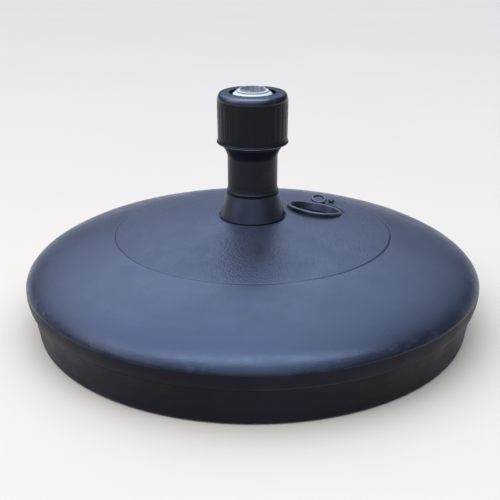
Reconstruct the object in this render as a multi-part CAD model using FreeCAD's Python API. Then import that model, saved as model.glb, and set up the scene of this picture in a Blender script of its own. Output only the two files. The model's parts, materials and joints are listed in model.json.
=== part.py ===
import FreeCAD, Part
import math
import os

# Water-filled parasol base: a round two-shell tank, a stand tube bolted through its middle,
# and a hand nut that squeezes a split collet on the parasol's pole. Millimetres, +Z up,
# origin on the tube's axis where it meets the floor.

WALL = 3.0                      # moulded wall of the tank

# Tank
RIM_R = 250.0                   # widest radius of the tank
BAND_TOP_Z = 58.0               # upper edge of the rim band
BAND_LOW_Z = 50.0               # the band starts to turn in here
SEAM_Z = 41.0                   # the two shells meet here
SEAM_R = 247.7                  # top shell at the seam
SKIRT_TOP_R = 246.8             # bottom shell at the seam, a small step in
TONGUE_R = 244.2                # tongue of the bottom shell, inside the top shell
TONGUE_THICK = 2.8
TONGUE_TOP_Z = 48.0
FOOT_OUTER_R = 234.5            # flat foot ring
FOOT_INNER_R = 207.0
FLOOR_Z = 6.0                   # underside of the floor inside the foot ring
DOME = [(37.2, 119.5), (100.0, 111.3), (155.0, 100.9), (200.0, 87.9),
        (232.0, 74.6), (246.0, 64.0), (RIM_R, BAND_TOP_Z)]
SKIRT = [(239.4, 6.2), (241.0, 15.5), (243.0, 27.0), (SKIRT_TOP_R, SEAM_Z)]
FOOT_CORNER = (237.9, 1.9)      # the rounding between the foot ring and the skirt passes here
RING_GROOVE_R = 152.0           # decorative groove on the dome
RING_GROOVE_RADIUS = 1.0
UNDERSIDE_RIBS = 8
RIB_WIDTH = 4.0
RIB_LOW_Z = 1.5

# Middle of the tank
SEAT_R = 37.2                   # shallow seat for the foot gasket
SEAT_Z = 118.0
SLEEVE_BORE_R = 25.8
SLEEVE_R = 29.3
RECESS_R = 47.0                 # underside pocket for the retaining nut
RECESS_Z = 25.5

# Filler, on its own axis that leans outwards
FILLER_X = 70.8
FILLER_Y = 33.4
FILLER_Z = 114.4
FILLER_LEAN = 11.5              # degrees
FILLER_TURN = 39.0              # degrees about Z, the way it leans
NECK_BORE_R = 29.4
NECK_R = 31.2
NECK_DEPTH = 24.0
NECK_PROUD = 0.2
SPOT_FACE_R = 34.8              # the dome is cut flat round the neck
PLUG_R = 28.9
PLUG_MOUTH_R = 27.2
PLUG_INNER_R = 25.6
PLUG_TAPER_DEPTH = 6.0          # from the mouth's radius to the inner one
PLUG_RIM_R = 32.0
PLUG_RIM_HEIGHT = 1.8
PLUG_DEPTH = 20.0
PLUG_FLOOR = 2.2
PLUG_GAP = 0.3                  # rim above the neck
PLUG_LEAD_IN = (1.5, 3.0)       # taper at the plug's lower edge: across, along
PLUG_RIM_ROUND = 1.6            # outer rounding of the rim
PLUG_MOUTH_ROUND = 1.6          # inner rounding of the rim
SEAL_SECTION_R = 0.8
SEAL_DEPTH = 11.0
SEAL_R = 28.5
LIP_NOTCH = (3.5, 1.3)          # notch in the rim's inner edge: width, depth
LIP_NOTCH_TO_R = 30.2
LIP_NOTCH_TURN = -139.0         # degrees about the filler axis
PULL_RING_R = 7.6               # the ring that the plug is pulled by
PULL_RING_SECTION_R = 1.7
PULL_RING_START_R = 30.6        # its inner side sits in the rim here
PULL_RING_PROUD = 0.4
PULL_RING_RISE = 24.0           # degrees
PULL_RING_TURN = 40.0           # degrees about the filler axis
BUTTON_X = 93.4                 # moulded button beside the filler, for the pull ring
BUTTON_Y = 77.4
BUTTON_LEAN = 9.5               # degrees
BUTTON_STEM_R = 2.4
BUTTON_R = 4.4
BUTTON_HEIGHT = 4.3
BUTTON_FLAT_R = 1.2             # flat middle of its crown

# Stand tube and its foot
TUBE_R = 27.0
TUBE_BORE_R = 22.0
TUBE_RIB_R = 19.5
TUBE_RIBS = 8
TUBE_RIB_WIDTH = 2.6
TUBE_LOW_Z = 10.0
SPIGOT_R = 25.4                 # the tube below the foot
LOW_THREAD_CORE_R = 24.2
LIP_R = 28.4
LIP_Z = 148.4
LIP_THICK = 1.0
COVE = (27.3, 151.6)            # the hollow curve above the lip passes here
COVE_TOP_Z = 156.0
FLARE_LOW_Z = 186.5
FLARE_MID = (29.0, 193.1)
FLARE_R = 32.6
FLARE_TOP_Z = 198.5
THREAD_CORE_R = 30.2
TUBE_TOP_Z = 232.0
COUNTERBORE_R = 27.0
COUNTERBORE_Z = 214.0
FOOT_R = 36.0
FOOT_Z = 119.6
FOOT_WALL_R = 31.5              # inside of the hollow cone, at its foot
FOOT_LAND = 8.0                 # height of the foot's bore under the cone's top
CONE_TOP_R = 28.5
CONE_TOP_Z = 145.6
GROOVE_R = 27.4
FOOT_TOP_Z = 148.3

# Threads
PITCH = 5.0
RIDGE = 1.5                     # radial height of a ridge
RIDGE_ROOT = 2.0                # axial width at its root
RIDGE_TIP = 1.0
RIDGE_BITE = 0.4                # how far a ridge's root is sunk in the wall
THREAD_GAP = 0.5
LOW_RIDGE = 1.2                 # the same for the thread under the tank
LOW_THREAD_GAP = 0.4
TUBE_THREAD_Z = (205.1, 229.0)
NUT_THREAD_Z = (TUBE_THREAD_Z[0] + 1.5 * PITCH, 228.0)   # half a turn's rise out of step
LOW_THREAD_Z = (12.0, 24.0)
LOCK_NUT_THREAD_Z = (14.0, 21.5)

# Clamp nut and collet
NUT_LIP_R = 38.6
NUT_R = 37.8
NUT_WAIST_R = 37.4
NUT_LOW_Z = 201.6
NUT_TOP_Z = 255.7
NUT_LIP_TOP_Z = 203.4
NUT_LIP_SWEEP = (37.75, 206.0)  # the lip's curve into the waist passes here
NUT_WAIST_Z = 209.6
NUT_SHOULDER_Z = 246.6
NUT_SHOULDER_MID = (36.5, 252.6)
NUT_TOP_R = 33.1
MOUTH_R = 24.8
NUT_FLUTES = 30
FLUTE_RADIUS = 2.2
FLUTE_DEPTH = 0.45
FLUTE_Z = (210.6, 243.6)
NUT_SKIRT_Z = (205.6, 206.6)    # the wider bore under the nut's thread
NUT_SKIRT_EXTRA = 1.2
CONE_GAP = 0.3                  # between the nut's cone and the collet's
COLLET_BORE_R = 19.2
COLLET_SPIGOT_R = 26.6
COLLET_LOW_Z = 217.0
COLLET_SHOULDER_R = 29.6
COLLET_SHOULDER_Z = 232.3
COLLET_CONE_Z = (234.2, 250.4)
COLLET_NOSE_R = 24.4
COLLET_TOP_Z = 252.0
COLLET_SLOTS = 8
SLOT_WIDTH = 2.0
SLOT_LOW_Z = 224.0

# Reducing sleeves
OUTER_SLEEVE_R = 18.9
OUTER_SLEEVE_BORE_R = 16.2
OUTER_FLANGE_R = 21.0
OUTER_FLANGE_Z = (252.3, 254.2, 256.1)   # underside, edge, crown
OUTER_FLANGE_MID = (19.3, 255.4)         # the crowned top passes here
OUTER_SLEEVE_LOW_Z = 172.0
INNER_SLEEVE_R = 15.9
POLE_BORE_R = 12.65
INNER_FLANGE_R = 17.2
INNER_FLANGE_Z = (256.4, 257.6)
INNER_NECK_R = 13.6             # thin neck that stands above the flange
INNER_NECK_Z = 259.8
INNER_SLEEVE_LOW_Z = 182.0
MOUTH_BREAK = 0.4               # chamfer of the inner sleeve's mouth
SLEEVE_TAPER = (0.8, 2.0)       # at a sleeve's lower end: across, along
SLEEVE_SLIT = 2.5
SLIT_LAND = 4.0                 # unslit height under a flange

# Underside fixing
WASHER_R = 42.0
WASHER_THICK = 2.5
LOCK_NUT_R = 37.0               # centre to corner
LOCK_NUT_LOW_Z = 11.5
LOCK_NUT_FLANGE = (39.0, 2.5)   # radius, thickness
CAP_R = 24.0
CAP_LOW_Z = 7.5
CAP_SPIGOT_R = 21.6
CAP_TOP_Z = 17.0
DRAIN_R = 3.0

Z_AXIS = FreeCAD.Vector(0, 0, 1)
ORIGIN = FreeCAD.Vector(0, 0, 0)


def at(r, z):
    """A point of an outline, in the XZ plane."""
    return FreeCAD.Vector(r, 0, z)


def line(*points):
    """Straight edges through (r, z) points."""
    return [Part.makeLine(at(*a), at(*b)) for a, b in zip(points, points[1:])]


def arc(start, through, end):
    """An edge that bends through three (r, z) points."""
    return [Part.Arc(at(*start), at(*through), at(*end)).toShape()]


def spline(points):
    """A smooth edge through (r, z) points."""
    curve = Part.BSplineCurve()
    curve.interpolate([at(*p) for p in points])
    return [curve.toShape()]


def inward(points, distance):
    """The points moved to the outline's inner side, square to its run."""
    moved = []
    for i, (r, z) in enumerate(points):
        before = points[max(i - 1, 0)]
        after = points[min(i + 1, len(points) - 1)]
        dr = after[0] - before[0]
        dz = after[1] - before[1]
        length = math.hypot(dr, dz)
        moved.append((r + distance * dz / length, z - distance * dr / length))
    return moved


def turned(*runs):
    """The solid made by turning a closed outline about Z."""
    edges = [edge for run in runs for edge in run]
    wire = Part.Wire(Part.__sortEdges__(edges))
    solid = Part.Face(wire).revolve(ORIGIN, Z_AXIS, 360)
    if solid.Volume < 0:
        solid.reverse()
    return solid


def ring(outer_r, inner_r, low_z, high_z):
    """A flat ring about Z."""
    return turned(line((inner_r, low_z), (outer_r, low_z), (outer_r, high_z), (inner_r, high_z),
                       (inner_r, low_z)))


def cylinder(r, low_z, high_z):
    """A plain round bar about Z."""
    return Part.makeCylinder(r, high_z - low_z, FreeCAD.Vector(0, 0, low_z))


def block(length, width, low_z, high_z, start_x=0.0):
    """A box along X, centred on Y."""
    return Part.makeBox(length, width, high_z - low_z, FreeCAD.Vector(start_x, -width / 2, low_z))


def around(shape, count, first=0.0):
    """Copies of a shape spread evenly about Z."""
    copies = []
    for i in range(count):
        copy = shape.copy()
        copy.rotate(ORIGIN, Z_AXIS, first + 360.0 * i / count)
        copies.append(copy)
    return copies


def thread_ridge(root_r, tip_r, low_z, high_z):
    """A right-hand helical ridge that stands from root_r to tip_r, inwards or outwards."""
    bite = math.copysign(RIDGE_BITE, tip_r - root_r)
    path = Part.makeHelix(PITCH, high_z - low_z, (root_r + tip_r) / 2)
    path.translate(FreeCAD.Vector(0, 0, low_z))
    profile = Part.makePolygon([at(root_r - bite, low_z - RIDGE_ROOT / 2),
                                at(tip_r, low_z - RIDGE_TIP / 2),
                                at(tip_r, low_z + RIDGE_TIP / 2),
                                at(root_r - bite, low_z + RIDGE_ROOT / 2),
                                at(root_r - bite, low_z - RIDGE_ROOT / 2)])
    return Part.Wire(path.Edges).makePipeShell([profile], True, True)


def leaned(shape, lean, turn, x, y, z):
    """Moves a shape built about Z to an axis that leans towards the angle turn."""
    shape.rotate(ORIGIN, FreeCAD.Vector(0, 1, 0), lean)
    shape.rotate(ORIGIN, Z_AXIS, turn)
    shape.translate(FreeCAD.Vector(x, y, z))
    return shape


def filler_frame(shape):
    """Moves a shape built about Z to the filler's axis."""
    return leaned(shape, FILLER_LEAN, FILLER_TURN, FILLER_X, FILLER_Y, FILLER_Z)


def dome_height(r):
    """Height of the dome's outer face at radius r."""
    upright = Part.makeLine(at(r, 0), at(r, 2 * SEAT_Z))
    return upright.distToShape(spline(DOME)[0])[1][0][1].z


def pull_ring_button():
    """The mushroom-shaped button on the dome."""
    head_low = 0.3 * BUTTON_HEIGHT
    button = turned(
        line((0, -WALL / 2), (BUTTON_STEM_R, -WALL / 2), (BUTTON_STEM_R, head_low),
             (BUTTON_R - 0.4, head_low), (BUTTON_R, head_low + 0.4)),
        arc((BUTTON_R, head_low + 0.4), (0.75 * BUTTON_R, 0.85 * BUTTON_HEIGHT),
            (BUTTON_FLAT_R, BUTTON_HEIGHT)),
        line((BUTTON_FLAT_R, BUTTON_HEIGHT), (0, BUTTON_HEIGHT), (0, -WALL / 2)))
    turn = math.degrees(math.atan2(BUTTON_Y, BUTTON_X))
    height = dome_height(math.hypot(BUTTON_X, BUTTON_Y))
    return leaned(button, BUTTON_LEAN, turn, BUTTON_X, BUTTON_Y, height)


def tank_top_shell():
    """The dome, its rim band and the filler neck."""
    inner = inward(DOME, WALL)
    shell = turned(
        line((SLEEVE_BORE_R, SEAT_Z), (SEAT_R, SEAT_Z), DOME[0]),
        spline(DOME),
        line(DOME[-1], (RIM_R, BAND_LOW_Z), (SEAM_R, SEAM_Z), (SEAM_R - WALL, SEAM_Z), inner[-1]),
        spline(inner[::-1]),
        line(inner[0], (SEAT_R, SEAT_Z - WALL), (SLEEVE_BORE_R, SEAT_Z - WALL),
             (SLEEVE_BORE_R, SEAT_Z)))
    groove = Part.makeTorus(RING_GROOVE_R, RING_GROOVE_RADIUS,
                            FreeCAD.Vector(0, 0, dome_height(RING_GROOVE_R) + RING_GROOVE_RADIUS / 3))
    spot_face = filler_frame(cylinder(SPOT_FACE_R, NECK_PROUD, NECK_DEPTH))
    neck = filler_frame(cylinder(NECK_R, -NECK_DEPTH, NECK_PROUD))
    bore = filler_frame(cylinder(NECK_BORE_R, -2 * NECK_DEPTH, 2 * NECK_DEPTH))
    shell = shell.cut([groove, spot_face]).fuse([neck, pull_ring_button()]).cut(bore)
    return shell.removeSplitter()


def tank_bottom_shell():
    """The skirt, foot ring and floor, with the sleeve and pocket for the tube."""
    inner_skirt = [(r - WALL, z) for r, z in SKIRT]
    ledge_r = TONGUE_R - TONGUE_THICK
    shell = turned(
        arc((FOOT_OUTER_R, 0), FOOT_CORNER, SKIRT[0]),
        spline(SKIRT),
        line(SKIRT[-1], (TONGUE_R, SEAM_Z), (TONGUE_R, TONGUE_TOP_Z), (ledge_r, TONGUE_TOP_Z),
             (ledge_r, SEAM_Z - WALL), inner_skirt[2]),
        spline(inner_skirt[:3][::-1]),
        line(inner_skirt[0], (FOOT_OUTER_R - 1, WALL), (FOOT_INNER_R, WALL),
             (FOOT_INNER_R - WALL, FLOOR_Z + WALL), (RECESS_R + WALL, FLOOR_Z + WALL),
             (RECESS_R + WALL, RECESS_Z + WALL), (SLEEVE_R, RECESS_Z + WALL),
             (SLEEVE_R, SEAT_Z - WALL), (SLEEVE_BORE_R, SEAT_Z - WALL), (SLEEVE_BORE_R, RECESS_Z),
             (RECESS_R, RECESS_Z), (RECESS_R, FLOOR_Z), (FOOT_INNER_R - WALL, FLOOR_Z),
             (FOOT_INNER_R, 0), (FOOT_OUTER_R, 0)))
    rib = block(FOOT_INNER_R - WALL - RECESS_R, RIB_WIDTH, RIB_LOW_Z, FLOOR_Z + WALL / 2,
                RECESS_R + WALL / 2)
    return shell.fuse(around(rib, UNDERSIDE_RIBS, 22.5)).removeSplitter()


def filler_plug():
    """A cup with a rolled rim, a groove for its seal and a ring to pull it by."""
    under = NECK_PROUD + PLUG_GAP
    top = under + PLUG_RIM_HEIGHT
    floor = PLUG_FLOOR - PLUG_DEPTH
    across, along = PLUG_LEAD_IN
    rim = PLUG_RIM_ROUND
    mouth = PLUG_MOUTH_ROUND
    cup = turned(
        line((0, -PLUG_DEPTH), (PLUG_R - across, -PLUG_DEPTH), (PLUG_R, along - PLUG_DEPTH),
             (PLUG_R, under), (PLUG_RIM_R, under), (PLUG_RIM_R, top - rim)),
        arc((PLUG_RIM_R, top - rim), (PLUG_RIM_R - 0.3 * rim, top - 0.3 * rim),
            (PLUG_RIM_R - rim, top)),
        line((PLUG_RIM_R - rim, top), (PLUG_MOUTH_R + mouth, top)),
        arc((PLUG_MOUTH_R + mouth, top), (PLUG_MOUTH_R + 0.3 * mouth, top - 0.3 * mouth),
            (PLUG_MOUTH_R, top - mouth)),
        line((PLUG_MOUTH_R, top - mouth), (PLUG_INNER_R, -PLUG_TAPER_DEPTH),
             (PLUG_INNER_R, floor), (0, floor), (0, -PLUG_DEPTH)))
    groove_half = SEAL_SECTION_R + 0.1
    groove = ring(PLUG_R + 1, SEAL_R - SEAL_SECTION_R, -SEAL_DEPTH - groove_half,
                  groove_half - SEAL_DEPTH)
    width, depth = LIP_NOTCH
    notch = block(LIP_NOTCH_TO_R - PLUG_INNER_R, width, top - depth, top + 1, PLUG_INNER_R)
    notch.rotate(ORIGIN, Z_AXIS, LIP_NOTCH_TURN)
    pull_ring = Part.makeTorus(PULL_RING_R, PULL_RING_SECTION_R, FreeCAD.Vector(PULL_RING_R, 0, 0))
    pull_ring.rotate(ORIGIN, FreeCAD.Vector(0, 1, 0), -PULL_RING_RISE)
    pull_ring.translate(at(PULL_RING_START_R, top + PULL_RING_PROUD))
    pull_ring.rotate(ORIGIN, Z_AXIS, PULL_RING_TURN)
    return filler_frame(cup.cut([groove, notch]).fuse(pull_ring).removeSplitter())


def filler_seal():
    """The O-ring round the plug."""
    return filler_frame(Part.makeTorus(SEAL_R, SEAL_SECTION_R, FreeCAD.Vector(0, 0, -SEAL_DEPTH)))


def foot_gasket():
    """The flat seal between the foot and the tank."""
    return ring(FOOT_R - 1.0, SLEEVE_BORE_R + 0.2, SEAT_Z, FOOT_Z)


def foot_collar():
    """The hollow cone that spreads the tube's load on the tank."""
    land_z = CONE_TOP_Z - FOOT_LAND
    return turned(
        line((FOOT_WALL_R, FOOT_Z), (FOOT_R - 0.5, FOOT_Z)),
        arc((FOOT_R - 0.5, FOOT_Z), (FOOT_R - 0.1, FOOT_Z + 0.2), (FOOT_R, FOOT_Z + 0.7)),
        line((FOOT_R, FOOT_Z + 0.7), (CONE_TOP_R, CONE_TOP_Z - 0.4)),
        arc((CONE_TOP_R, CONE_TOP_Z - 0.4), (CONE_TOP_R - 0.4, CONE_TOP_Z),
            (GROOVE_R, CONE_TOP_Z + 0.3)),
        line((GROOVE_R, CONE_TOP_Z + 0.3), (GROOVE_R, FOOT_TOP_Z), (SLEEVE_BORE_R, FOOT_TOP_Z),
             (SLEEVE_BORE_R, land_z), (SLEEVE_BORE_R + 1, land_z), (FOOT_WALL_R, FOOT_Z)))


def stand_tube():
    """The tube: thread, pocket spigot, lip, plain length, flare and clamp thread, from below."""
    lip_top_z = LIP_Z + LIP_THICK
    lip_round_r = LIP_R - 0.3
    body = turned(
        line((TUBE_BORE_R, TUBE_LOW_Z), (LOW_THREAD_CORE_R, TUBE_LOW_Z),
             (LOW_THREAD_CORE_R, RECESS_Z + 1), (SPIGOT_R, RECESS_Z + 2), (SPIGOT_R, LIP_Z),
             (lip_round_r, LIP_Z)),
        arc((lip_round_r, LIP_Z), (LIP_R, LIP_Z + LIP_THICK / 2), (lip_round_r, lip_top_z)),
        arc((lip_round_r, lip_top_z), COVE, (TUBE_R, COVE_TOP_Z)),
        line((TUBE_R, COVE_TOP_Z), (TUBE_R, FLARE_LOW_Z)),
        arc((TUBE_R, FLARE_LOW_Z), FLARE_MID, (FLARE_R, FLARE_TOP_Z)),
        line((FLARE_R, FLARE_TOP_Z), (FLARE_R, FLARE_TOP_Z + 1), (THREAD_CORE_R, FLARE_TOP_Z + 2),
             (THREAD_CORE_R, TUBE_TOP_Z), (COUNTERBORE_R, TUBE_TOP_Z),
             (COUNTERBORE_R, COUNTERBORE_Z), (TUBE_BORE_R, COUNTERBORE_Z),
             (TUBE_BORE_R, TUBE_LOW_Z)))
    rib = block(TUBE_BORE_R - TUBE_RIB_R + 1, TUBE_RIB_WIDTH, CAP_TOP_Z + 3, COUNTERBORE_Z,
                TUBE_RIB_R)
    top_thread = thread_ridge(THREAD_CORE_R, THREAD_CORE_R + RIDGE, *TUBE_THREAD_Z)
    low_thread = thread_ridge(LOW_THREAD_CORE_R, LOW_THREAD_CORE_R + LOW_RIDGE, *LOW_THREAD_Z)
    return body.fuse(around(rib, TUBE_RIBS) + [top_thread, low_thread])


def retaining_washer():
    """The flat seal over the locking nut."""
    return ring(WASHER_R, SLEEVE_BORE_R + 0.2, RECESS_Z - WASHER_THICK, RECESS_Z)


def retaining_nut():
    """The flanged hexagon nut that pulls the tube down from under the tank."""
    high_z = RECESS_Z - WASHER_THICK
    flange_r, flange_thick = LOCK_NUT_FLANGE
    bore_r = LOW_THREAD_CORE_R + LOW_RIDGE + LOW_THREAD_GAP
    corner = FreeCAD.Vector(LOCK_NUT_R, 0, LOCK_NUT_LOW_Z)
    turns = [FreeCAD.Rotation(Z_AXIS, 60 * i) for i in range(7)]
    hexagon = Part.Face(Part.makePolygon([turn.multVec(corner) for turn in turns]))
    prism = hexagon.extrude(FreeCAD.Vector(0, 0, high_z - LOCK_NUT_LOW_Z))
    flange = cylinder(flange_r, high_z - flange_thick, high_z)
    body = prism.fuse(flange).cut(cylinder(bore_r, 0, RECESS_Z))
    return body.fuse(thread_ridge(bore_r, bore_r - LOW_RIDGE, *LOCK_NUT_THREAD_Z))


def tube_end_cap():
    """A push-in cap that the pole rests on, with a drain hole."""
    inside_r = CAP_SPIGOT_R - WALL
    return turned(
        line((DRAIN_R, CAP_LOW_Z), (CAP_R - 0.5, CAP_LOW_Z), (CAP_R, CAP_LOW_Z + 0.5),
             (CAP_R, TUBE_LOW_Z), (CAP_SPIGOT_R, TUBE_LOW_Z), (CAP_SPIGOT_R, CAP_TOP_Z - 1),
             (CAP_SPIGOT_R - 1, CAP_TOP_Z), (inside_r, CAP_TOP_Z), (inside_r, TUBE_LOW_Z),
             (DRAIN_R, TUBE_LOW_Z), (DRAIN_R, CAP_LOW_Z)))


def clamp_collet():
    """A split ring whose cone the clamp nut pushes inwards."""
    cone_low, cone_high = COLLET_CONE_Z
    body = turned(
        line((COLLET_BORE_R, COLLET_LOW_Z), (COLLET_SPIGOT_R - 1, COLLET_LOW_Z),
             (COLLET_SPIGOT_R, COLLET_LOW_Z + 1), (COLLET_SPIGOT_R, COLLET_SHOULDER_Z),
             (COLLET_SHOULDER_R, COLLET_SHOULDER_Z), (COLLET_SHOULDER_R, cone_low),
             (COLLET_NOSE_R, cone_high), (COLLET_NOSE_R, COLLET_TOP_Z - 0.6),
             (COLLET_NOSE_R - 0.6, COLLET_TOP_Z), (COLLET_BORE_R, COLLET_TOP_Z),
             (COLLET_BORE_R, COLLET_LOW_Z)))
    slot = block(COLLET_SHOULDER_R - COLLET_BORE_R + 2, SLOT_WIDTH, SLOT_LOW_Z, COLLET_TOP_Z + 1,
                 COLLET_BORE_R - 1)
    return body.cut(around(slot, COLLET_SLOTS))


def clamp_nut():
    """The hand nut: fluted outside, thread below and a cone above inside."""
    cone_low, cone_high = COLLET_CONE_Z
    slope = (COLLET_SHOULDER_R - COLLET_NOSE_R) / (cone_high - cone_low)
    start_z = cone_low - 1
    start_r = COLLET_SHOULDER_R + slope + CONE_GAP * math.hypot(1, slope)
    end_z = start_z + (start_r - MOUTH_R) / slope
    bore_r = THREAD_CORE_R + RIDGE + THREAD_GAP
    skirt_r = bore_r + NUT_SKIRT_EXTRA
    skirt_z, bore_z = NUT_SKIRT_Z
    body = turned(
        line((NUT_LIP_R - 0.8, NUT_LOW_Z), (NUT_LIP_R, NUT_LOW_Z + 0.9),
             (NUT_LIP_R, NUT_LIP_TOP_Z)),
        arc((NUT_LIP_R, NUT_LIP_TOP_Z), NUT_LIP_SWEEP, (NUT_WAIST_R, NUT_WAIST_Z)),
        line((NUT_WAIST_R, NUT_WAIST_Z), (NUT_R, NUT_SHOULDER_Z)),
        arc((NUT_R, NUT_SHOULDER_Z), NUT_SHOULDER_MID, (NUT_TOP_R, NUT_TOP_Z)),
        line((NUT_TOP_R, NUT_TOP_Z), (MOUTH_R + 0.8, NUT_TOP_Z), (MOUTH_R, NUT_TOP_Z - 0.8),
             (MOUTH_R, end_z), (start_r, start_z), (bore_r, start_z - 0.6), (bore_r, bore_z),
             (skirt_r, skirt_z), (skirt_r, NUT_LOW_Z), (NUT_LIP_R - 0.8, NUT_LOW_Z)))
    flute = cylinder(FLUTE_RADIUS, *FLUTE_Z)
    flute.translate(FreeCAD.Vector(NUT_R + FLUTE_RADIUS - FLUTE_DEPTH, 0, 0))
    ridge = thread_ridge(bore_r, bore_r - RIDGE, *NUT_THREAD_Z)
    return body.cut(around(flute, NUT_FLUTES, 180 / NUT_FLUTES)).fuse(ridge)


def slit_through(shape, low_z, flange_z, turn):
    """The slit up one side that lets a sleeve close on a pole."""
    slit = block(OUTER_FLANGE_R, SLEEVE_SLIT, low_z - 1, flange_z - SLIT_LAND)
    slit.rotate(ORIGIN, Z_AXIS, turn)
    return shape.cut(slit)


def reducer_outer():
    """The larger sleeve, with a crowned flange that rests on the collet."""
    low_z, edge_z, crown_z = OUTER_FLANGE_Z
    across, along = SLEEVE_TAPER
    crown_r = OUTER_SLEEVE_BORE_R + 0.3
    body = turned(
        line((OUTER_SLEEVE_BORE_R, OUTER_SLEEVE_LOW_Z),
             (OUTER_SLEEVE_R - across, OUTER_SLEEVE_LOW_Z),
             (OUTER_SLEEVE_R, OUTER_SLEEVE_LOW_Z + along), (OUTER_SLEEVE_R, low_z),
             (OUTER_FLANGE_R - 0.3, low_z), (OUTER_FLANGE_R, low_z + 0.3),
             (OUTER_FLANGE_R, edge_z - 0.4)),
        arc((OUTER_FLANGE_R, edge_z - 0.4), OUTER_FLANGE_MID, (crown_r, crown_z)),
        line((crown_r, crown_z), (OUTER_SLEEVE_BORE_R, crown_z - 0.3),
             (OUTER_SLEEVE_BORE_R, OUTER_SLEEVE_LOW_Z)))
    return slit_through(body, OUTER_SLEEVE_LOW_Z, low_z, 135)


def reducer_inner():
    """The smaller sleeve, which holds the pole."""
    low_z, high_z = INNER_FLANGE_Z
    across, along = SLEEVE_TAPER
    edge = 0.5                                  # rounding of the flange's upper edge
    body = turned(
        line((POLE_BORE_R, INNER_SLEEVE_LOW_Z), (INNER_SLEEVE_R - across, INNER_SLEEVE_LOW_Z),
             (INNER_SLEEVE_R, INNER_SLEEVE_LOW_Z + along), (INNER_SLEEVE_R, low_z),
             (INNER_FLANGE_R - 0.3, low_z), (INNER_FLANGE_R, low_z + 0.3),
             (INNER_FLANGE_R, high_z - edge)),
        arc((INNER_FLANGE_R, high_z - edge),
            (INNER_FLANGE_R - 0.3 * edge, high_z - 0.3 * edge), (INNER_FLANGE_R - edge, high_z)),
        line((INNER_FLANGE_R - edge, high_z), (INNER_NECK_R, high_z), (INNER_NECK_R, INNER_NECK_Z),
             (POLE_BORE_R + MOUTH_BREAK, INNER_NECK_Z), (POLE_BORE_R, INNER_NECK_Z - MOUTH_BREAK),
             (POLE_BORE_R, INNER_SLEEVE_LOW_Z)))
    return slit_through(body, INNER_SLEEVE_LOW_Z, low_z, 45)


PIECES = [tank_top_shell, tank_bottom_shell, filler_plug, filler_seal, foot_gasket, foot_collar,
          stand_tube, retaining_washer, retaining_nut, tube_end_cap, clamp_collet, clamp_nut,
          reducer_outer, reducer_inner]

os.makedirs("parts", exist_ok=True)
for piece in PIECES:
    shape = piece()
    shape.exportStep(f"parts/{piece.__name__}.step")
    box = shape.optimalBoundingBox()
    print(f"{piece.__name__}: solids {len(shape.Solids)}, valid {shape.isValid()}, "
          f"volume {shape.Volume / 1000:.1f} cm3, z {box.ZMin:.2f} to {box.ZMax:.2f}, r {box.XMax:.2f}")
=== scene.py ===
import json
import math

import bmesh
import bpy
from mathutils import Matrix, Vector, noise
from mathutils.bvhtree import BVHTree

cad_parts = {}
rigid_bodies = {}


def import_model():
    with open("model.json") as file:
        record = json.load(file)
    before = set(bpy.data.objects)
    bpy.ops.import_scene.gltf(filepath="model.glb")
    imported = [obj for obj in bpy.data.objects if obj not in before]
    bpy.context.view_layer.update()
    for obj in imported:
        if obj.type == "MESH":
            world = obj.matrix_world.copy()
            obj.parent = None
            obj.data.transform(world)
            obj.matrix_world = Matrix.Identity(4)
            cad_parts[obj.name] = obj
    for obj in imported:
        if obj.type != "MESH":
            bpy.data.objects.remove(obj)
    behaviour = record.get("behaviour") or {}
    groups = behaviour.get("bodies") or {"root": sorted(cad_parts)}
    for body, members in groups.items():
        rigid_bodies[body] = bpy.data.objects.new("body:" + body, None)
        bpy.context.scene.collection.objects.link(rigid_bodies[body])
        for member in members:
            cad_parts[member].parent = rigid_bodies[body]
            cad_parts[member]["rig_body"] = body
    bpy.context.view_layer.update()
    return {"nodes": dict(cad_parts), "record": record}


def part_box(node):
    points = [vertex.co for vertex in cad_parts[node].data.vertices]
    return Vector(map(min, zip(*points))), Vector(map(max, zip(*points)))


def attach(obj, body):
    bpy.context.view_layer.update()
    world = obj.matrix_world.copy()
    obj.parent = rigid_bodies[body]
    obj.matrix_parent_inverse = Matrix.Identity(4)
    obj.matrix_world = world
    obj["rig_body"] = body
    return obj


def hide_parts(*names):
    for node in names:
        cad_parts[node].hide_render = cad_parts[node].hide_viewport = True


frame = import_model()

MM = 0.001

# Named dimensions of the base, in mm and degrees.
WALL = 3.0
RING_LINE_R = 152.0             # the line round the dome's grained middle
RIM_Z = 57.0                    # the dome's edge
SEAM_HIGHLIGHT_Z = 41.6             # painted highlight along the crease, just over the line where the two shells meet
BAND_CORNER_Z = 50.0            # the band starts to draw in below this
FOOT_RECESS_R = 37.2            # flat seat for the foot in the middle of the dome
MIDDLE_HOLE_R = 25.8            # the tube passes through it
FILLER_AT = (70.8, 33.4, 114.4)
FILLER_LEAN = 11.5
FILLER_TURN = 39.0
NECK_BORE_R = 29.4
NECK_R = 31.2
NECK_PROUD = 0.2
NECK_DEPTH = 24.0
SPOT_FACE_R = 34.8              # the dome is cut flat round the neck
BUTTON_AT = (93.4, 77.4)
BUTTON_LEAN = 9.5
STANDING_RING_R = (207.0, 234.5)
TANK_FLOOR_Z = (6.0, 9.0)
POCKET_R = 47.0                 # for the locking nut, under the tank
POCKET_TOP_Z = 25.5
TONGUE_R = 244.2                # the lower shell's tongue stands inside the upper one
TONGUE_INNER_R = 241.4
TONGUE_TOP_Z = 48.0
RIBS = 8
RIB = (155.5, 4.0, 6.0)         # length, width, height
RIB_MIDDLE = (126.2, 4.5)       # its middle's radius and height
FOOT_SHADED_EDGE_DEPTH = 3.06          # the foot's shaded edge, down from its top: painted shade under the tube's lip
SLEEVE_NECK_R = (13.8, 14.1)    # the inner sleeve's neck ends between these
FLUTES = 30
FLUTE_DEPTH = 0.30
FLUTE_Z = (208.0, 247.0)
FLUTE_RUN_OUT = 5.0
NUT_SHOULDER_R = 33.1
NUT_MOUTH_R = 24.8
NUT_BORE_R = 32.2
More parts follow.
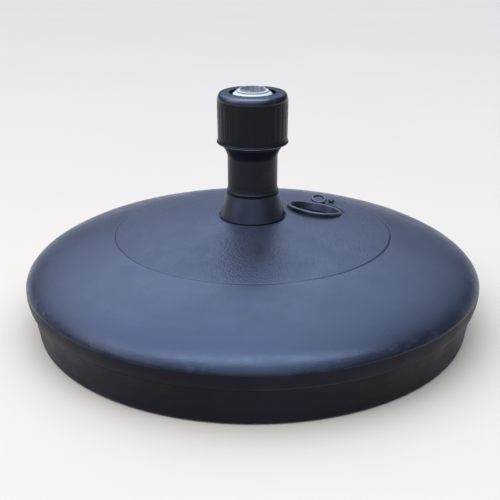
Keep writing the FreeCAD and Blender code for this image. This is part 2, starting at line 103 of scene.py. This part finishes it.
THREAD_TIP_R = 30.7
THREAD_Z = (212.6, 228.0)
THREAD_PITCH = 5.0
NUT_LIP_Z = 201.9


# ---------------------------------------------------------------- materials

class Nodes:
    """A short way to build a material's node tree."""

    def __init__(self, name):
        self.material = bpy.data.materials.new(name)
        self.material.use_nodes = True
        self.tree = self.material.node_tree
        self.tree.nodes.clear()
        self.shader = self.add("ShaderNodeBsdfPrincipled")
        output = self.add("ShaderNodeOutputMaterial")
        self.join(self.shader.outputs["BSDF"], output.inputs["Surface"])
        self.place = self.add("ShaderNodeTexCoord").outputs["Object"]

    def add(self, kind, **settings):
        node = self.tree.nodes.new(kind)
        for key, value in settings.items():
            setattr(node, key, value)
        return node

    def join(self, a, b):
        self.tree.links.new(a, b)

    def put(self, socket, value):
        """Sets a socket to a number or joins it to another node's output."""
        if isinstance(value, bpy.types.NodeSocket):
            self.join(value, socket)
        else:
            socket.default_value = value

    def math(self, operation, a, b=0.0, clamp=False):
        node = self.add("ShaderNodeMath", operation=operation, use_clamp=clamp)
        self.put(node.inputs[0], a)
        self.put(node.inputs[1], b)
        return node.outputs[0]

    def noise(self, scale, detail=3.0, roughness=0.5, stretch=None):
        node = self.add("ShaderNodeTexNoise")
        place = self.place
        if stretch:
            mapping = self.add("ShaderNodeMapping")
            mapping.inputs["Scale"].default_value = stretch
            self.join(place, mapping.inputs["Vector"])
            place = mapping.outputs["Vector"]
        self.join(place, node.inputs["Vector"])
        node.inputs["Scale"].default_value = scale
        node.inputs["Detail"].default_value = detail
        node.inputs["Roughness"].default_value = roughness
        return node.outputs["Fac"]

    def cells(self, scale):
        node = self.add("ShaderNodeTexVoronoi", feature="SMOOTH_F1")
        self.join(self.place, node.inputs["Vector"])
        node.inputs["Scale"].default_value = scale
        return node.outputs["Distance"]

    def remap(self, value, low, high, to_low=0.0, to_high=1.0):
        node = self.add("ShaderNodeMapRange", interpolation_type="SMOOTHSTEP")
        for socket, number in zip(node.inputs, (value, low, high, to_low, to_high)):
            self.put(socket, number)
        return node.outputs[0]

    def mix(self, amount, a, b):
        node = self.add("ShaderNodeMix", data_type="RGBA")
        self.put(node.inputs["Factor"], amount)
        for socket, value in ((node.inputs["A"], a), (node.inputs["B"], b)):
            self.put(socket, value if isinstance(value, bpy.types.NodeSocket) else (*value, 1.0))
        return node.outputs["Result"]

    def radius(self):
        """Distance from the Z axis."""
        parts = self.add("ShaderNodeSeparateXYZ")
        self.join(self.place, parts.inputs[0])
        square = [self.math("MULTIPLY", parts.outputs[i], parts.outputs[i]) for i in (0, 1)]
        return self.math("SQRT", self.math("ADD", *square))

    def height(self):
        """Height over the floor."""
        parts = self.add("ShaderNodeSeparateXYZ")
        self.join(self.place, parts.inputs[0])
        return parts.outputs[2]

    def band(self, value, centre, half_width):
        """1 where value is at centre, falling to 0 half_width away."""
        away = self.math("ABSOLUTE", self.math("SUBTRACT", value, centre))
        return self.remap(away, 0.0, half_width, 1.0, 0.0)

    def bump(self, height, distance, strength=1.0):
        node = self.add("ShaderNodeBump")
        self.put(node.inputs["Height"], height)
        self.put(node.inputs["Strength"], strength)
        node.inputs["Distance"].default_value = distance
        self.join(node.outputs["Normal"], self.shader.inputs["Normal"])


def moulded(name, colour, roughness, specular=0.5, tint=(1.0, 1.0, 1.0), dust_and_sky_sheen=0.0,
            grain=0.02, worn=(0.10, 0.10, 0.12), wear=None):
    """Moulded plastic: mottled colour, patchy gloss, a fine grain and paler worn places."""
    n = Nodes(name)
    patches = n.remap(n.noise(9.0, 4.0), 0.35, 0.65)
    base = n.mix(patches, [0.75 * c for c in colour], [1.3 * c for c in colour])
    marks = n.remap(n.noise(55.0, 6.0, 0.65, (1.0, 1.0, 0.35)), 0.58, 0.72)
    if wear:
        marks = n.math("MULTIPLY", marks, wear(n))
    base = n.mix(n.math("MULTIPLY", marks, 0.12), base, worn)
    n.put(n.shader.inputs["Base Color"], base)
    gloss = n.remap(n.noise(38.0, 5.0, 0.6), 0.3, 0.7, roughness - 0.05, roughness + 0.06)
    n.put(n.shader.inputs["Roughness"], n.math("ADD", gloss, n.math("MULTIPLY", marks, 0.08)))
    n.shader.inputs["Specular IOR Level"].default_value = specular
    # Painted sky colour: the tint and the sheen tint turn the reflections and the dusty sheen blue.
    n.shader.inputs["Specular Tint"].default_value = (*tint, 1.0)
    n.shader.inputs["Sheen Weight"].default_value = dust_and_sky_sheen
    n.shader.inputs["Sheen Tint"].default_value = (0.5, 0.6, 0.9, 1.0)
    n.shader.inputs["Sheen Roughness"].default_value = 0.45
    n.bump(n.noise(1400.0, 3.0), grain * MM)
    return n


# Blue tint on the tank's reflections: painted sky colour.
SKY_TINT = (0.61, 0.75, 1.0)


def rim_wear(n):
    """The tank is rubbed round the dome's edge."""
    return n.band(n.height(), RIM_Z * MM, 9.0 * MM)


def shoulder_wear(n):
    """The nut is rubbed round its shoulder."""
    return n.band(n.height(), (FLUTE_Z[1] + 4.0) * MM, 6.0 * MM)


def recolour(n, amount, colour):
    """Mixes a colour over a material's base colour."""
    plain = n.shader.inputs["Base Color"].links[0].from_socket
    n.put(n.shader.inputs["Base Color"], n.mix(amount, plain, colour))


def tank_plastic():
    """Blow-moulded black plastic: leathery inside the ring line, smoother outside it."""
    n = moulded("tank_plastic", (0.005, 0.005, 0.006), 0.30, specular=0.4, tint=SKY_TINT,
                dust_and_sky_sheen=0.06, worn=(0.05, 0.05, 0.06), wear=rim_wear)
    inside = n.remap(n.radius(), (RING_LINE_R - 3.0) * MM, (RING_LINE_R - 0.5) * MM, 1.0, 0.2)
    leather = n.math("ADD", n.remap(n.cells(500.0), 0.05, 0.75), n.noise(900.0, 2.0))
    n.bump(leather, 0.19 * MM, n.math("MULTIPLY", inside, 0.85))
    gloss = n.shader.inputs["Roughness"].links[0].from_socket
    smears = n.remap(n.noise(60.0, 8.0, 0.75), 0.5, 0.7)
    smears = n.math("MULTIPLY", smears, n.band(n.height(), (RIM_Z + 6.0) * MM, 9.0 * MM))
    rougher = n.math("ADD", n.math("MULTIPLY", inside, 0.10), n.math("MULTIPLY", smears, 0.22))
    n.put(n.shader.inputs["Roughness"], n.math("ADD", gloss, rougher))
    recolour(n, n.math("MULTIPLY", smears, 0.2), (0.06, 0.065, 0.08))
    return n.material


def skirt_plastic():
    """A duller, shaded copy of the same plastic: painted shade on the skirt, the band and the ring
    line, and a painted highlight along the seam.
    """
    n = moulded("tank_plastic_shaded_copy", (0.005, 0.0045, 0.007), 0.46, specular=0.15,
                tint=(0.85, 0.8, 1.0), worn=(0.02, 0.02, 0.024), wear=rim_wear)
    # Painted highlight: a patchy paler line along the crease just over the seam.
    seam_highlight = n.math("MULTIPLY", n.band(n.height(), SEAM_HIGHLIGHT_Z * MM, 1.9 * MM),
                     n.remap(n.noise(9.0, 3.0), 0.46, 0.6, 0.05, 1.0))
    recolour(n, seam_highlight, (0.022, 0.022, 0.026))
    return n.material


def sleeve_plastic():
    """Pale grey plastic. Up the neck and bore it turns a darker streaked grey: painted shade of the
    inner wall, with dark rub streaks where the pole rubs.
    """
    n = moulded("reducer_plastic", (0.22, 0.205, 0.18), 0.36, specular=0.4,
                worn=(0.17, 0.16, 0.14))
    streaks = n.remap(n.noise(650.0, 3.0, 0.6, (1.0, 1.0, 0.03)), 0.35, 0.65)
    neck_shade_and_streaks = n.mix(streaks, (0.11, 0.11, 0.115), (0.24, 0.23, 0.225))
    # Painted shade: inside the neck's radius the colour is the darker streaked grey, shade of the
    # inner wall together with rub streaks.
    neck = n.remap(n.radius(), SLEEVE_NECK_R[0] * MM, SLEEVE_NECK_R[1] * MM, 1.0, 0.0)
    recolour(n, neck, neck_shade_and_streaks)
    return n.material


def grip_plastic():
    """The clamp nut's dull plastic, paler in a patchy band along its lower lip."""
    n = moulded("nut_plastic", (0.0045, 0.0045, 0.005), 0.27, specular=0.12,
                tint=(0.85, 0.95, 1.0), wear=shoulder_wear)
    # A paler patchy band along the lower lip.
    rubbed = n.math("MULTIPLY", n.band(n.height(), NUT_LIP_Z * MM, 1.3 * MM),
                    n.remap(n.noise(60.0, 4.0), 0.3, 0.6, 0.45, 1.0))
    recolour(n, rubbed, (0.24, 0.24, 0.26))
    return n.material


SHADED_TANK_COPY = skirt_plastic()
FINISH = {
    "tank_plastic": tank_plastic(),
    "stand_plastic": moulded("stand_plastic", (0.005, 0.005, 0.007), 0.34, specular=0.25,
                             tint=(0.85, 0.9, 1.0)).material,
    "nut_plastic": grip_plastic(),
    "plug_plastic": moulded("plug_plastic", (0.006, 0.006, 0.007), 0.38, specular=0.6,
                            tint=(0.8, 0.86, 1.0), grain=0.03).material,
    "reducer_plastic": sleeve_plastic(),
    "seal_rubber": moulded("seal_rubber", (0.012, 0.012, 0.012), 0.6, specular=0.3).material,
}
# A glossier, lit copy of the nut plastic for the shoulder: painted highlight along the shoulder.
NUT_SHOULDER_LIT_COPY = moulded("nut_plastic_lit_copy", (0.005, 0.005, 0.006), 0.22, specular=0.62,
                       tint=(0.85, 0.92, 1.0), wear=shoulder_wear).material
# A glossier, lit copy of the stand plastic for the foot: painted highlight on the foot.
FOOT_LIT_COPY = moulded("foot_plastic", (0.0055, 0.005, 0.0075), 0.36, specular=0.55,
               tint=(0.8, 0.84, 1.0), grain=0.05).material
# A duller, darker copy for the foot's top edge: painted shade under the tube's lip.
FOOT_SHADED_EDGE = moulded("foot_plastic_shaded_edge", (0.005, 0.005, 0.006), 0.5, specular=0.12).material
SLOT_OF = {part["node"]: part["material_slot"] for part in frame["record"]["subparts"]}


def dress(piece, node):
    """Gives a piece the finish of a node's material slot."""
    piece.data.materials.clear()
    piece.data.materials.append(FINISH[SLOT_OF[node]])


for node, piece in frame["nodes"].items():
    dress(piece, node)
foot = frame["nodes"]["foot_collar"].data
# The foot takes the lit copy: painted highlight.
foot.materials[0] = FOOT_LIT_COPY
foot.materials.append(FOOT_SHADED_EDGE)
foot_top_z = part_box("foot_collar")[1].z
# The foot's top edge takes the shaded copy: painted shade under the tube's lip.
for face in foot.polygons:
    if face.center.z > foot_top_z - FOOT_SHADED_EDGE_DEPTH * MM:
        face.material_index = 1

BODY_OF = {node: piece["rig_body"] for node, piece in frame["nodes"].items()}


# ---------------------------------------------------------------- turned pieces

def soften(corners):
    """A closed outline, in mm, from (r, z, rounding) corners, with an arc at each rounded one."""
    points = []
    for i, (r, z, rounding) in enumerate(corners):
        here = Vector((r, z))
        if not rounding:
            points.append(here)
            continue
        before = Vector(corners[i - 1][:2]) - here
        after = Vector(corners[(i + 1) % len(corners)][:2]) - here
        reach = min(rounding, 0.45 * before.length, 0.45 * after.length)
        start = here + before.normalized() * reach
        end = here + after.normalized() * reach
        steps = 5
        for k in range(steps + 1):
            t = k / steps
            points.append((1 - t) ** 2 * start + 2 * t * (1 - t) * here + t ** 2 * end)
    return points


def lathe(outline, segments, warp=None):
    """A bmesh turned about Z from a closed outline in mm; warp(r, z, angle) moves its points."""
    mesh = bmesh.new()
    rings = []
    for r, z in outline:
        ring = []
        for k in range(segments if r > 0 else 1):
            angle = 2 * math.pi * k / segments
            wr, wz = warp(r, z, angle) if warp else (r, z)
            ring.append(mesh.verts.new((wr * MM * math.cos(angle), wr * MM * math.sin(angle),
                                        wz * MM)))
        rings.append(ring)
    for low, high in zip(rings, rings[1:] + rings[:1]):
        for k in range(segments):
            corners = [low[k % len(low)], low[(k + 1) % segments % len(low)],
                       high[(k + 1) % segments % len(high)], high[k % len(high)]]
            corners = list(dict.fromkeys(corners))
            if len(corners) > 2:
                mesh.faces.new(corners)
    bmesh.ops.recalc_face_normals(mesh, faces=mesh.faces)
    return mesh


def helix(root_r, tip_r, low_z, high_z, pitch, segments=72):
    """A right-hand screw ridge, closed at both ends; all in mm."""
    mesh = bmesh.new()
    bite = math.copysign(0.4, root_r - tip_r)
    steps = round((high_z - low_z) / pitch * segments)
    before = None
    for k in range(steps + 1):
        angle = 2 * math.pi * k / segments
        z = low_z + pitch * k / segments
        ring = [mesh.verts.new((r * MM * math.cos(angle), r * MM * math.sin(angle), (z + dz) * MM))
                for r, dz in ((root_r + bite, -1.0), (tip_r, -0.5), (tip_r, 0.5),
                              (root_r + bite, 1.0))]
        if before:
            for i in range(4):
                mesh.faces.new((before[i], before[(i + 1) % 4], ring[(i + 1) % 4], ring[i]))
        if k in (0, steps):
            mesh.faces.new(ring)
        before = ring
    bmesh.ops.recalc_face_normals(mesh, faces=mesh.faces)
    return mesh


def join(*meshes):
    """One bmesh out of several."""
    data = bpy.data.meshes.new("joined")
    whole = bmesh.new()
    for mesh in meshes:
        mesh.to_mesh(data)
        whole.from_mesh(data)
        mesh.free()
    bpy.data.meshes.remove(data)
    return whole


def finished(name, mesh, node):
    """Turns a bmesh into a smooth-shaded piece that replaces a CAD node."""
    data = bpy.data.meshes.new(name)
    mesh.to_mesh(data)
    mesh.free()
    piece = bpy.data.objects.new(name, data)
    bpy.context.scene.collection.objects.link(piece)
    data.shade_smooth()
    data.set_sharp_from_angle(angle=math.radians(38))
    dress(piece, node)
    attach(piece, BODY_OF[node])
    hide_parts(node)
    return piece


def carve(mesh, cutter):
    """The bmesh with the cutter's space taken out of it."""
    objects = []
    for part in (mesh, cutter):
        data = bpy.data.meshes.new("carving")
        part.to_mesh(data)
        part.free()
        objects.append(bpy.data.objects.new("carving", data))
        bpy.context.scene.collection.objects.link(objects[-1])
    boolean = objects[0].modifiers.new("cut", "BOOLEAN")
    boolean.object = objects[1]
    boolean.solver = "EXACT"
    bpy.context.view_layer.update()
    result = objects[0].evaluated_get(bpy.context.evaluated_depsgraph_get()).to_mesh()
    carved = bmesh.new()
    carved.from_mesh(result)
    for thing in objects:
        bpy.data.objects.remove(thing)
    return carved


def probe(node):
    """A function that gives the CAD surface's distance in mm along a ray, both in mm."""
    data = frame["nodes"][node].data
    tree = BVHTree.FromPolygons([v.co for v in data.vertices], [p.vertices for p in data.polygons])

    def hit(origin, direction):
        place = tree.ray_cast(Vector(origin) * MM, Vector(direction))[0]
        return place / MM if place else None
    return hit


def along_x(r, z):
    """A point in mm on the side away from the filler."""
    return (-r, 0, z)


# ---------------------------------------------------------------- tank

def leaned(lean, turn, place):
    """The frame of something that stands at a place on the dome, leaning outwards."""
    return (Matrix.Translation(Vector(place) * MM) @ Matrix.Rotation(turn, 4, "Z")
            @ Matrix.Rotation(lean, 4, "Y"))


def ring_line_depth(angle):
    """The ring line is deepest on the right and shallow in front."""
    right = max(math.cos(angle + math.radians(20)), 0.0)
    front = max(math.cos(angle + math.radians(90)), 0.0)
    return 0.40 + 0.25 * right ** 2 - 0.27 * front ** 2


def dome_warp(r, z, angle):
    """Slight waves of a blow-moulded skin, and the ring line."""
    swell = noise.noise(Vector((2.2 * math.cos(angle) * r / 100,
                                2.2 * math.sin(angle) * r / 100, z / 60)))
    z += 0.22 * swell * min(1.0, max(0.0, (r - 60) / 40)) * (1 if z > RIM_Z + 1 else 0)
    if z > 80:
        away = (r - RING_LINE_R) / 1.5
        if abs(away) < 1:
            z -= ring_line_depth(angle) * 0.5 * (1 + math.cos(math.pi * away))
    if z < 60:
        r -= 0.25 * (1 + noise.noise(Vector((3 * math.cos(angle), 3 * math.sin(angle), z / 15))))
    return r, z


def tank_top():
    """The dome with its band, the neck round the filler and the button beside it."""
    hit = probe("tank_top_shell")
    low, high = (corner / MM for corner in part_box("tank_top_shell"))

    def dome_z(r):
        return hit(along_x(r, 200), (0, 0, -1)).z

    rim_r = high.x
    seat_r = FOOT_RECESS_R
    seat_z = dome_z(0.5 * (seat_r + MIDDLE_HOLE_R))
    band_top_z = dome_z(rim_r - 0.05)
    radii = [seat_r + 1.2 + 2.0 * k for k in range(200) if seat_r + 1.2 + 2.0 * k < rim_r - 5]
    radii += [RING_LINE_R + 0.25 * k for k in range(-8, 9)]
    radii = sorted(set(round(r, 3) for r in radii))
    outer = []
    for r in radii:
        z = dome_z(r)
        if abs(r - RING_LINE_R) < 2.5:                   # the CAD's own groove is skipped
            a, b = (dome_z(RING_LINE_R + d) for d in (-2.6, 2.6))
            z = a + (b - a) * (r - RING_LINE_R + 2.6) / 5.2
        outer.append(Vector((r, z)))
    seam_r = -hit(along_x(300, low.z + 0.2), (1, 0, 0)).x
    corners = [(rim_r - 4.4, dome_z(rim_r - 4.4), 0), (rim_r - 2.2, dome_z(rim_r - 2.2), 0),
               (rim_r, band_top_z, 1.6), (rim_r, BAND_CORNER_Z, 4.0), (seam_r, low.z, 1.4),
               (seam_r - WALL, low.z, 0)]
    edge = soften(corners)
    inner = [Vector((p.x - 0.06 * WALL, p.y - WALL)) for p in outer[::-4]]
    outline = ([Vector((MIDDLE_HOLE_R, seat_z - WALL)), Vector((MIDDLE_HOLE_R, seat_z)),
                Vector((seat_r, seat_z)), Vector((seat_r, outer[0].y - 0.6)),
                Vector((seat_r + 0.4, outer[0].y - 0.1))]
               + outer + edge + [Vector((rim_r - 2.5 * WALL, band_top_z))] + inner
               + [Vector((seat_r, seat_z - WALL))])
    body = lathe(outline, 512, dome_warp)
    filler = leaned(math.radians(FILLER_LEAN), math.radians(FILLER_TURN), FILLER_AT)
    hole_r = NECK_R - 0.2
    cutter = lathe([Vector(p) for p in ((0, -30), (hole_r, -30), (hole_r, NECK_PROUD),
                                        (SPOT_FACE_R, NECK_PROUD), (SPOT_FACE_R, 20), (0, 20))],
                   192)
    cutter.transform(filler)
    body = carve(body, cutter)
    neck = lathe(soften([(NECK_BORE_R, -NECK_DEPTH, 0), (NECK_R, -NECK_DEPTH, 0),
                         (NECK_R, NECK_PROUD, 0.5), (NECK_BORE_R, NECK_PROUD, 0.3)]), 192)
    neck.transform(filler)
    button = lathe(soften([(0, -1.5, 0), (2.4, -1.5, 0), (2.4, 1.3, 0), (4.1, 1.35, 0.3),
                           (4.4, 2.3, 1.2), (3.1, 3.9, 1.6), (0, 4.28, 0)]), 64)
    button.transform(leaned(math.radians(BUTTON_LEAN), math.atan2(BUTTON_AT[1], BUTTON_AT[0]),
                            (*BUTTON_AT, dome_z(math.hypot(*BUTTON_AT)))))
    dome = finished("tank_dome", join(body, neck, button), "tank_top_shell")
    # The band under the dome's edge and a strip along the ring line, wider on the right, take the
    # shaded copy: painted shade.
    dome.data.materials.append(SHADED_TANK_COPY)
    for face in dome.data.polygons:
        x, y, z = face.center / MM
        angle = math.atan2(y, x)
        ragged = 1.1 * noise.noise(Vector((4 * math.cos(angle), 4 * math.sin(angle), 0)))
        from_line = abs(math.hypot(x, y) - RING_LINE_R)
        if z < band_top_z - 0.7 + ragged or from_line < 1.3 * ring_line_depth(angle):
            face.material_index = 1


def skirt_warp(r, z, angle):
    """Slight waves of the skirt."""
    if r > 240:
        r -= 0.25 * (1 + noise.noise(Vector((4 * math.cos(angle), 4 * math.sin(angle), z / 12))))
    return r, z


def tank_base():
    """The skirt and floor, with the pocket for the locking nut and the ribs under the floor."""
    hit = probe("tank_bottom_shell")
    low, high = (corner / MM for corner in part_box("tank_bottom_shell"))
    seam_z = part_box("tank_top_shell")[0].z / MM
    heights = [8.0 + 2.0 * k for k in range(16)]
    skirt = [(-hit(along_x(300, z), (1, 0, 0)).x, z, 0) for z in heights]
    ring_in, ring_out = STANDING_RING_R
    under, top = TANK_FLOOR_Z
    sleeve_r = MIDDLE_HOLE_R + 3.5
    pocket_out, pocket_over = POCKET_R + WALL, POCKET_TOP_Z + WALL
    foot_ring = [(ring_out, 0, 1.0), (ring_out + 3.9, 1.6, 3.0), (ring_out + 5.0, 6.2, 0)]
    tongue = [(high.x, seam_z, 1.2), (TONGUE_R, seam_z, 0), (TONGUE_R, TONGUE_TOP_Z, 0.6),
              (TONGUE_INNER_R, TONGUE_TOP_Z, 0.6)]
    inside = [(TONGUE_INNER_R, 38, 0), (240, 27, 0), (238, 15.5, 0), (236.4, 6.2, 0),
              (233.5, WALL, 2.0), (ring_in, WALL, 2.0), (ring_in - WALL, top, 2.0)]
    pocket = [(pocket_out, top, 1.0), (pocket_out, pocket_over, 1.0), (sleeve_r, pocket_over, 1.0),
              (sleeve_r, high.z, 0.3), (MIDDLE_HOLE_R, high.z, 0.3),
              (MIDDLE_HOLE_R, POCKET_TOP_Z, 0.3), (POCKET_R, POCKET_TOP_Z, 1.0),
              (POCKET_R, under, 1.0)]
    underside = [(ring_in - WALL, under, 1.0), (ring_in, 0, 1.0)]
    outline = soften(foot_ring + skirt + tongue + inside + pocket + underside)
    body = lathe(outline, 384, skirt_warp)
    ribs = []
    for k in range(RIBS):
        rib = bmesh.new()
        bmesh.ops.create_cube(rib, size=1.0)
        bmesh.ops.scale(rib, vec=Vector(RIB) * MM, verts=rib.verts)
        bmesh.ops.bevel(rib, geom=rib.edges, offset=0.6 * MM, segments=3, affect="EDGES")
        middle_r, middle_z = RIB_MIDDLE
        bmesh.ops.translate(rib, vec=Vector((middle_r, 0, middle_z)) * MM, verts=rib.verts)
        rib.transform(Matrix.Rotation(math.radians(360 / RIBS * (k + 0.5)), 4, "Z"))
        ribs.append(rib)
    base = finished("tank_base", join(body, *ribs), "tank_bottom_shell")
    # The whole lower shell takes the shaded copy: painted shade on the skirt.
    base.data.materials.clear()
    base.data.materials.append(SHADED_TANK_COPY)


# ---------------------------------------------------------------- clamp nut

def nut_warp(r, z, angle):
    """Shallow hollows up the grip, dying out at both ends."""
    low, high = FLUTE_Z
    if r > 36.9 and low < z < high:
        ends = min(1.0, (z - low) / FLUTE_RUN_OUT, (high - z) / FLUTE_RUN_OUT)
        hollow = max(0.0, math.cos(FLUTES * angle)) ** 1.5
        r -= FLUTE_DEPTH * hollow * ends
    return r, z


def grip_nut():
    """The hand nut: a lip, a fluted grip, a round shoulder, and a screw thread inside."""
    low, high = (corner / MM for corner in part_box("clamp_nut"))
    lip_r = high.x
    lip_z = low.z
    top_z = high.z
    waist = [(37.55, lip_z + 4.8, 0), (37.42, lip_z + 6.6, 0)]
    grip = [(37.4 + 0.4 * k / 24, lip_z + 8.0 + 37.0 * k / 24, 0) for k in range(25)]
    shoulder = [(NUT_SHOULDER_R + 4.7 * math.cos(t), top_z - 9.1 + 9.1 * math.sin(t), 0)
                for t in (math.radians(7.5 * k) for k in range(1, 12))]
    outline = soften(
        [(lip_r - 0.9, lip_z, 0.5), (lip_r, lip_z + 0.7, 0.5), (lip_r, lip_z + 1.9, 0.5),
         (37.95, lip_z + 3.0, 0.8)] + waist + grip + shoulder
        + [(NUT_SHOULDER_R, top_z, 0), (NUT_MOUTH_R, top_z, 0.9), (NUT_MOUTH_R, 250.0, 0),
           (29.9, 233.3, 0), (NUT_BORE_R, 232.6, 0), (NUT_BORE_R, 206.6, 0),
           (33.4, 205.6, 0), (33.4, lip_z, 0.4)])
    ridge = helix(NUT_BORE_R, THREAD_TIP_R, *THREAD_Z, THREAD_PITCH)
    nut = finished("grip_nut", join(lathe(outline, 480, nut_warp), ridge), "clamp_nut")
    nut.data.materials.append(NUT_SHOULDER_LIT_COPY)
    # The shoulder's faces take the lit copy: painted highlight.
    for face in nut.data.polygons:
        if top_z - 7.5 < face.center.z / MM < top_z - 0.6 and face.center.xy.length > 33 * MM:
            face.material_index = 1


tank_top()
tank_base()
grip_nut()

# ---------------------------------------------------------------- studio

FLOOR_SIZE = 60.0               # metres
CAMERA_AT = (0.0, -0.9218, 0.4393)
CAMERA_TILT = 68.543            # degrees up from straight down
CAMERA_LENS = 63.4
CAMERA_SHIFT = -0.0052
SKY_STRENGTH = 2.4
SKY_UP = [(0.5, (0.045, 0.055, 0.075)), (0.6, (0.085, 0.10, 0.14)), (0.7, (0.42, 0.52, 0.75)),
          (0.9, (1.5, 1.8, 2.55)), (1.0, (1.8, 2.1, 2.95))]
SKY_ACROSS = [(0.0, (0.95, 0.93, 1.0)), (0.55, (1.0, 1.0, 1.0)), (0.8, (0.43, 0.46, 0.47)),
              (0.9, (0.13, 0.14, 0.15)), (1.0, (0.05, 0.055, 0.06))]


def studio_floor():
    """A plain pale floor."""
    mesh = bpy.data.meshes.new("floor")
    half = FLOOR_SIZE / 2
    mesh.from_pydata([(-half, -half, 0), (half, -half, 0), (half, half, 0), (-half, half, 0)],
                     [], [(0, 1, 2, 3)])
    floor = bpy.data.objects.new("floor", mesh)
    bpy.context.scene.collection.objects.link(floor)
    n = Nodes("floor_paper")
    n.put(n.shader.inputs["Base Color"],
          n.mix(n.noise(3.0), (0.315, 0.262, 0.188), (0.33, 0.275, 0.198)))
    n.shader.inputs["Roughness"].default_value = 0.9
    n.shader.inputs["Specular IOR Level"].default_value = 0.1
    mesh.materials.append(n.material)


def sky():
    """A soft bluish dome of light, brightest overhead and darker to the right."""
    world = bpy.data.worlds.new("studio")
    bpy.context.scene.world = world
    world.use_nodes = True
    tree = world.node_tree
    background = tree.nodes["Background"]
    place = tree.nodes.new("ShaderNodeTexCoord")
    parts = tree.nodes.new("ShaderNodeSeparateXYZ")
    tree.links.new(place.outputs["Generated"], parts.inputs[0])
    ramps = []
    for axis, stops in (("Z", SKY_UP), ("X", SKY_ACROSS)):
        lift = tree.nodes.new("ShaderNodeMapRange")
        lift.inputs["From Min"].default_value = -1.0
        tree.links.new(parts.outputs[axis], lift.inputs["Value"])
        ramp = tree.nodes.new("ShaderNodeValToRGB")
        ramp.color_ramp.elements.remove(ramp.color_ramp.elements[1])
        for i, (position, colour) in enumerate(stops):
            stop = ramp.color_ramp.elements[0] if i == 0 else ramp.color_ramp.elements.new(position)
            stop.position = position
            stop.color = (*colour, 1)
        tree.links.new(lift.outputs[0], ramp.inputs[0])
        ramps.append(ramp.outputs[0])
    blend = tree.nodes.new("ShaderNodeMix")
    blend.data_type = "RGBA"
    blend.blend_type = "MULTIPLY"
    blend.inputs["Factor"].default_value = 1.0
    tree.links.new(ramps[0], blend.inputs["A"])
    tree.links.new(ramps[1], blend.inputs["B"])
    tree.links.new(blend.outputs["Result"], background.inputs["Color"])
    background.inputs["Strength"].default_value = SKY_STRENGTH


def softbox(name, place, target, size, power, colour):
    """A rectangular studio light that faces a target."""
    light = bpy.data.lights.new(name, "AREA")
    light.shape = "RECTANGLE"
    light.size, light.size_y = size
    light.energy = power
    light.color = colour
    lamp = bpy.data.objects.new(name, light)
    lamp.location = place
    lamp.rotation_euler = (Vector(target) - Vector(place)).to_track_quat("-Z", "Y").to_euler()
    bpy.context.scene.collection.objects.link(lamp)


def camera():
    """The photo's view, from in front and a little above."""
    data = bpy.data.cameras.new("camera")
    data.lens = CAMERA_LENS
    data.sensor_width = 36.0
    data.shift_x = CAMERA_SHIFT
    view = bpy.data.objects.new("camera", data)
    view.location = CAMERA_AT
    view.rotation_euler = (math.radians(CAMERA_TILT), 0, 0)
    bpy.context.scene.collection.objects.link(view)
    bpy.context.scene.camera = view


bpy.context.scene.view_settings.view_transform = "Standard"
studio_floor()
sky()
softbox("left_box", (-2.2, -0.6, 1.6), (0, 0, 0.05), (1.6, 1.6), 18.0, (1.0, 0.95, 0.9))
softbox("top_box", (0.0, -0.9, 2.2), (0, 0, 0.1), (3.6, 0.5), 48.0, (0.8, 0.9, 1.0))
camera()
